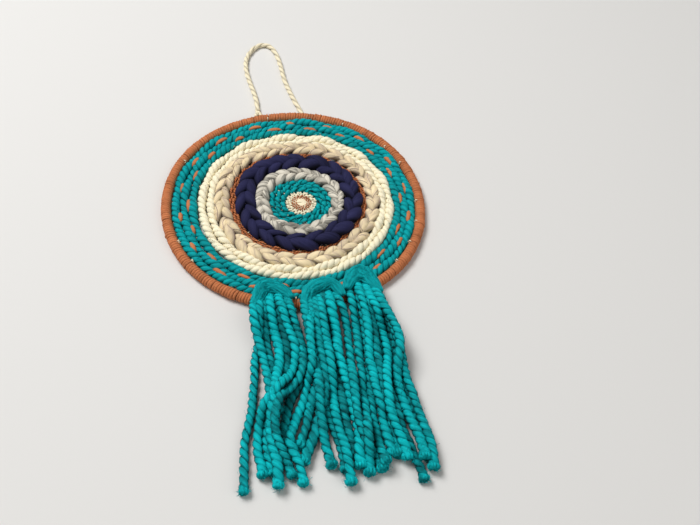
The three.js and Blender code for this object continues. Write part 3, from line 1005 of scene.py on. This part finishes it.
class AddRoving(bpy.types.Operator):
    """Lay the roving rings: the grey braid, the navy braid and the cream thick-and-thin wraps"""

    bl_idname = "wall_hanging.roving"
    bl_label = "Roving rings"

    def execute(self, context):
        yarns = context.scene.hanging_yarns
        rng = np.random.default_rng(3)
        grey = wool_material(
            "grey roving", yarns.grey, shade_share=0.3, highlight_share=1.85, along=30.0, across=400.0, slant=0.1,
            drift=1.5, drift_scale=55.0, bump=1.0,
            streaks=((0.09, 0.087, 0.08), 14.0, 190.0, 0.15, 0.07, 0.8),
        )
        work = roving_ring(rng, reaches=(34.7, 40.3), wraps=(19, 21), breadths=(3.3, 3.4),
                           slant=1.9, half_height=5.6, thickness=2.9, lumps=0.13)
        stray_fibres(work, rng, 250, 3.0)
        add_piece("grey_braid", work, grey, "grey_roving", "grey_roving")
        navy = wool_material(
            "navy roving", yarns.navy, shade_share=0.2, highlight_share=2.0, along=60.0, across=800.0, slant=0.1,
            drift=0.8, drift_scale=50.0, fuzz=0.4,
        )
        work = roving_ring(rng, reaches=(49.0, 56.4), wraps=(17, 19), breadths=(4.4, 4.4),
                           slant=2.6, half_height=7.2, thickness=3.9, tone=0.45, lumps=0.16)
        stray_fibres(work, rng, 350, 3.5)
        add_piece("navy_braid", work, navy, "navy_roving", "navy_roving")
        slub = wool_material(
            "cream slub roving", yarns.slub, highlight_share=1.42, along=50.0, across=700.0, slant=0.1,
            drift=0.8, drift_scale=45.0, bump=0.6,
            streaks=(tuple(yarns.mauve), 22.0, 95.0, 0.35, 0.08, 0.4),
        )
        fine = wool_material("mauve binding thread", yarns.mauve, shade_share=0.5, highlight_share=1.8,
                             along=400.0, across=3000.0, fuzz=0.1)
        binding = StrandMesh()
        work = roving_ring(rng, reaches=(71.2, 76.7), wraps=(29, 30), breadths=(3.4, 3.5),
                           slant=1.9, half_height=5.7, thickness=2.9, binding=binding)
        stray_fibres(work, rng, 250, 3.5)
        add_piece("cream_slub_wraps", work, slub, "cream_slub", "cream_slub")
        add_piece("slub_binding", binding, fine, "cream_slub")
        return {"FINISHED"}


def laid_strands(radius):
    """The tassel strands' routes, each lying on the surface, the hoop and the strands before it.

    Close under the head the strands are squeezed together, so none rides high over another."""
    laid = []
    for tassel, tone, girth, points in [(name, *row) for name in STRANDS for row in STRANDS[name]]:
        loop = head_loop(tassel)[0][:, :2]
        nearest = np.argmin(np.hypot(*(loop - points[0]).T))
        points = [tuple(loop[nearest]), *points]
        route = even_route([(x, y, 0.0) for x, y in points], 1.1)[:-1]
        thick = radius * girth
        height = drape_height(route[:, 0], route[:, 1]) + STRAND_CLEARANCE * thick
        for _, _, other_thick, other in laid:
            clear = (thick + other_thick) * STRAND_SQUEEZE
            apart = np.hypot(
                route[:, None, 0] - other[None, :, 0], route[:, None, 1] - other[None, :, 1]
            )
            above = np.sqrt(np.maximum(clear**2 - apart**2, 0))
            need = np.where(apart < clear, other[None, :, 2] + above, 0).max(axis=1)
            height = np.maximum(height, need)
        run = run_along(route)
        ceiling = HEAD_CEILING + CEILING_RISE * eased((run - 6) / 50)
        ceiling = ceiling - UNDER_LOOP_DROP * (1 - eased((run - 3) / 15))
        height = np.minimum(height, np.minimum(ceiling, STRAND_CEILING - 1.15 * thick))
        route[:, 2] = np.maximum(softened(height, 4), softened(height, 2) - 0.8)
        laid.append((tassel, tone, thick, route))
    return laid


def brush_end(work, rng, route, radius, tone):
    """Soft fibres that spread a little round a strand's cut end."""
    tip = route[-1]
    tangent = unit(route[-1] - route[-5])
    side = unit(np.cross(tangent, UPRIGHT))
    top = np.cross(side, tangent)
    outer = 11
    for fibre in range(2 * outer):
        angle = 2 * math.pi * (fibre + rng.uniform(-0.4, 0.4)) / outer
        outward = math.cos(angle) * side + math.sin(angle) * top
        spread = rng.uniform(0.78, 0.95) if fibre < outer else rng.uniform(0.2, 0.6)
        length = rng.uniform(3.5, 6.0)
        points = [
            tip - tangent * length + outward * radius * 0.55 * spread,
            tip - tangent * length * 0.4 + outward * radius * 0.98 * spread,
            tip + tangent * rng.uniform(0.3, 1.3) + outward * radius * 0.72 * spread,
        ]
        path = even_route(points, 1.4)
        path[:, 2] = np.maximum(path[:, 2], 0.8)
        work.sweep(path, outward, 1.35, 0.9, 7, tone + rng.uniform(-0.1, 0.2), rounding=1.8,
                   shade=0.3)


def head_loop(tassel):
    """The loop's middle line in a tassel's head, its way inwards, half its width and its height."""
    crown, outline = HEADS[tassel]
    edge = even_route([(x, y, 0.0) for x, y in outline], 1.2)
    share = np.linspace(0, 1, len(edge))
    tangent = unit(np.gradient(edge, axis=0))
    inward = np.column_stack([tangent[:, 1], -tangent[:, 0], np.zeros(len(edge))])
    swell = np.sin(math.pi * share) ** 0.7
    foot = 2.1
    half = foot + (crown - foot) * swell
    tall = 2.2 + 3.2 * swell
    middle = edge + inward * half[:, None]
    middle[:, 2] = HEAD_HEIGHT
    return middle, inward, half, tall


def combed_head(work, rng, tassel):
    """The smooth loop of combed yarn over a tassel's strands."""
    middle, inward, half, tall = head_loop(tassel)
    steps = len(middle)
    share = np.linspace(0, 1, steps)
    work.sweep(middle, UPRIGHT, half * 0.95, tall * 0.95, 16, 0.3, rounding=3.0)

    def over_the_loop(place, proud):
        place = np.clip(place, -0.98, 0.98)
        lying = middle + inward * (half * place)[:, None]
        lying[:, 2] += tall * np.sqrt(1 - place**2) + proud
        return lying

    bands = round(2.4 * half.max())
    for band in range(bands):
        start = -0.96 + 1.92 * band / (bands - 1)
        place = start + softened(rng.normal(0, 0.75, steps), 5)
        normal = unit(inward * start + UPRIGHT * math.sqrt(1 - start**2))
        plump = 1 + softened(rng.normal(0, 0.5, steps), 3)
        work.sweep(over_the_loop(place, -0.35), normal, 1.05 * plump, 0.95 * plump, 8,
                   rng.uniform(0.3, 0.85), rounding=2.5)
    for fibre in range(44):
        begin = rng.integers(0, steps // 3)
        end = rng.integers(2 * steps // 3, steps)
        slide = rng.uniform(-0.35, 0.35)
        place = rng.uniform(-0.9, 0.9) + slide * share + softened(rng.normal(0, 0.4, steps), 7)
        path = over_the_loop(place, rng.uniform(0.2, 0.75))[begin:end]
        work.sweep(path, UPRIGHT, 0.24, 0.2, 4, rng.uniform(0.2, 0.95), rounding=1.0, shade=0.3)


class AddTassels(bpy.types.Operator):
    """Hang the three tassels over the lower edge of the hoop"""

    bl_idname = "wall_hanging.tassels"
    bl_label = "Tassels"

    def execute(self, context):
        sizes = context.scene.hanging_sizes
        rng = np.random.default_rng(17)
        turn = sizes.strand_turn / MM
        # The tassel yarn gets a strong painted shade in its grooves and a strong painted highlight
        # on its crests
        teal = wool_material("teal tassel yarn", context.scene.hanging_yarns.teal, shade_share=0.07,
                             highlight_share=2.5, drift=1.2, drift_scale=90.0)
        combed = wool_material("combed teal yarn", context.scene.hanging_yarns.teal, shade_share=0.3,
                               highlight_share=2.0, along=70.0, across=1300.0, slant=0.05, drift=0.6,
                               bump=0.9, fuzz=0.4)
        bundles = {tassel: StrandMesh(0.14) for tassel in HEADS}
        for tassel, tone, thick, route in laid_strands(sizes.strand / MM / 2):
            run = run_along(route)
            to_end = run[-1] - run
            flare = 1 + 0.22 * np.clip(1 - to_end / 10, 0, 1)
            uneven = 1 + softened(rng.normal(0, 0.2, len(route)), 5)
            radius = thick * flare * uneven
            route[:, 2] += np.maximum(radius - thick, 0)
            start = rng.uniform(0, 6) + softened(rng.normal(0, 2.2, len(route)), 8)
            # Painted shade in the grooves between plies and, strongly, on the strands' sides, where
            # they lie against each other; it fades at the cut end
            bundles[tassel].ply_up(route, radius, turn * rng.uniform(0.94, 1.06), tone,
                                   start=start, rounding=2.2, blunt=6.0, groove_shade=0.68,
                                   edge=0.95)
            brush_end(bundles[tassel], rng, route, radius[-1], tone)
        for tassel, bundle in bundles.items():
            stray_fibres(bundle, rng, 1000, 4.5)
            add_piece(f"tassel_{tassel}_yarn", bundle, teal, "teal_yarn", f"tassel_{tassel}")
        for tassel in HEADS:
            head = StrandMesh(0.06)
            combed_head(head, rng, tassel)
            stray_fibres(head, rng, 120, 4.0)
            add_piece(f"tassel_{tassel}_head", head, combed, "teal_yarn")
        return {"FINISHED"}


class AddStitches(bpy.types.Operator):
    """Sew short rust stitches between the teal rows"""

    bl_idname = "wall_hanging.stitches"
    bl_label = "Rust stitches"

    def execute(self, context):
        rng = np.random.default_rng(29)
        rust = wool_material("rust stitches", context.scene.hanging_yarns.rust, shade_share=0.5,
                             along=90.0, across=1200.0, slant=0.1)
        work = StrandMesh(0.06)
        stitches = 36
        steps = 15
        between_rows = (111.3, 103.8)
        for stitch in range(stitches):
            angle = 2 * math.pi * (stitch + 0.5 + rng.uniform(-0.16, 0.16)) / stitches
            reach = between_rows[stitch % 2] + rng.uniform(-0.5, 0.5)
            half = rng.uniform(5.5, 9.0) / reach
            plump = rng.uniform(0.85, 1.25) + softened(rng.normal(0, 0.25, steps), 2)
            span = angle + np.linspace(-half, half, steps)
            bow = np.linspace(-1, 1, steps)
            path = ring_place(np.full(steps, reach), span, 7.9 - 3.6 * bow**4)
            breadth = 1.9 * plump * (1 - 0.45 * bow**2)
            thickness = 1.5 * plump * (1 - 0.4 * bow**2)
            work.sweep(path, UPRIGHT, breadth, thickness, 10, rng.uniform(0.3, 0.8), rounding=1.5)
        add_piece("rust_stitches", work, rust, "rust_yarn")
        return {"FINISHED"}


class AddStage(bpy.types.Operator):
    """Add the plain floor and the soft lights"""

    bl_idname = "wall_hanging.stage"
    bl_label = "Floor and lights"

    def execute(self, context):
        look = context.scene.hanging_stage
        bpy.ops.object.select_all(action="DESELECT")
        bpy.ops.mesh.primitive_plane_add(size=6, location=(0, 0, 0))
        floor = context.object
        floor.name = "floor"
        paint = bpy.data.materials.new("floor")
        paint.use_nodes = True
        shader = paint.node_tree.nodes["Principled BSDF"]
        shader.inputs["Base Color"].default_value = opaque(look.floor)
        shader.inputs["Roughness"].default_value = 0.9
        floor.data.materials.append(paint)
        # Each light's name, power, size and place, in metres. All of them face the piece
        lights = (
            ("main light", look.key_power, 1.3, Vector((-1.1, 0.84, 2.3))),
            ("fill light", look.key_power * 0.3, 2.6, Vector((1.5, -1.8, 2.0))),
        )
        for name, power, size, place in lights:
            bpy.ops.object.light_add(type="AREA", location=place)
            light = context.object
            light.name = name
            light.data.energy = power
            light.data.size = size
            light.rotation_euler = (-place).to_track_quat("-Z", "Y").to_euler()
        world = bpy.data.worlds.new("room")
        world.use_nodes = True
        sky = world.node_tree.nodes["Background"]
        sky.inputs["Color"].default_value = (1, 0.985, 0.96, 1)
        sky.inputs["Strength"].default_value = look.room_light
        context.scene.world = world
        context.scene.view_settings.view_transform = "Standard"
        return {"FINISHED"}


class WallHangingPanel(bpy.types.Panel):
    """Builds the wall hanging piece by piece"""

    bl_idname = "VIEW3D_PT_wall_hanging"
    bl_label = "Wall hanging"
    bl_space_type = "VIEW_3D"
    bl_region_type = "UI"
    bl_category = "Wall hanging"

    def draw(self, context):
        layout = self.layout
        for owner in ("hanging_yarns", "hanging_sizes", "hanging_stage"):
            settings = getattr(context.scene, owner)
            for label in settings.__annotations__:
                layout.prop(settings, label)
        for operator in OPERATORS:
            layout.operator(operator.bl_idname)


SETTINGS = (
    ("hanging_yarns", HangingYarns),
    ("hanging_sizes", HangingSizes),
    ("hanging_stage", HangingStage),
)
OPERATORS = (
    AddCamera, AddHangingCord, AddHoop, AddWarp, AddCentre, AddWovenRows, AddRoving, AddStitches,
    AddTassels, AddStage,
)


def register():
    for name, group in SETTINGS:
        bpy.utils.register_class(group)
        setattr(bpy.types.Scene, name, bpy.props.PointerProperty(type=group))
    for operator in OPERATORS:
        bpy.utils.register_class(operator)
    bpy.utils.register_class(WallHangingPanel)


def unregister():
    bpy.utils.unregister_class(WallHangingPanel)
    for operator in reversed(OPERATORS):
        bpy.utils.unregister_class(operator)
    for name, group in reversed(SETTINGS):
        delattr(bpy.types.Scene, name)
        bpy.utils.unregister_class(group)


def main():
    register()
    bpy.ops.wall_hanging.camera()
    bpy.ops.wall_hanging.hanging_cord()
    bpy.ops.wall_hanging.hoop()
    bpy.ops.wall_hanging.warp()
    bpy.ops.wall_hanging.centre()
    bpy.ops.wall_hanging.woven_rows()
    bpy.ops.wall_hanging.roving()
    bpy.ops.wall_hanging.stitches()
    bpy.ops.wall_hanging.tassels()
    bpy.ops.wall_hanging.stage()


if __name__ == "__main__":
    main()
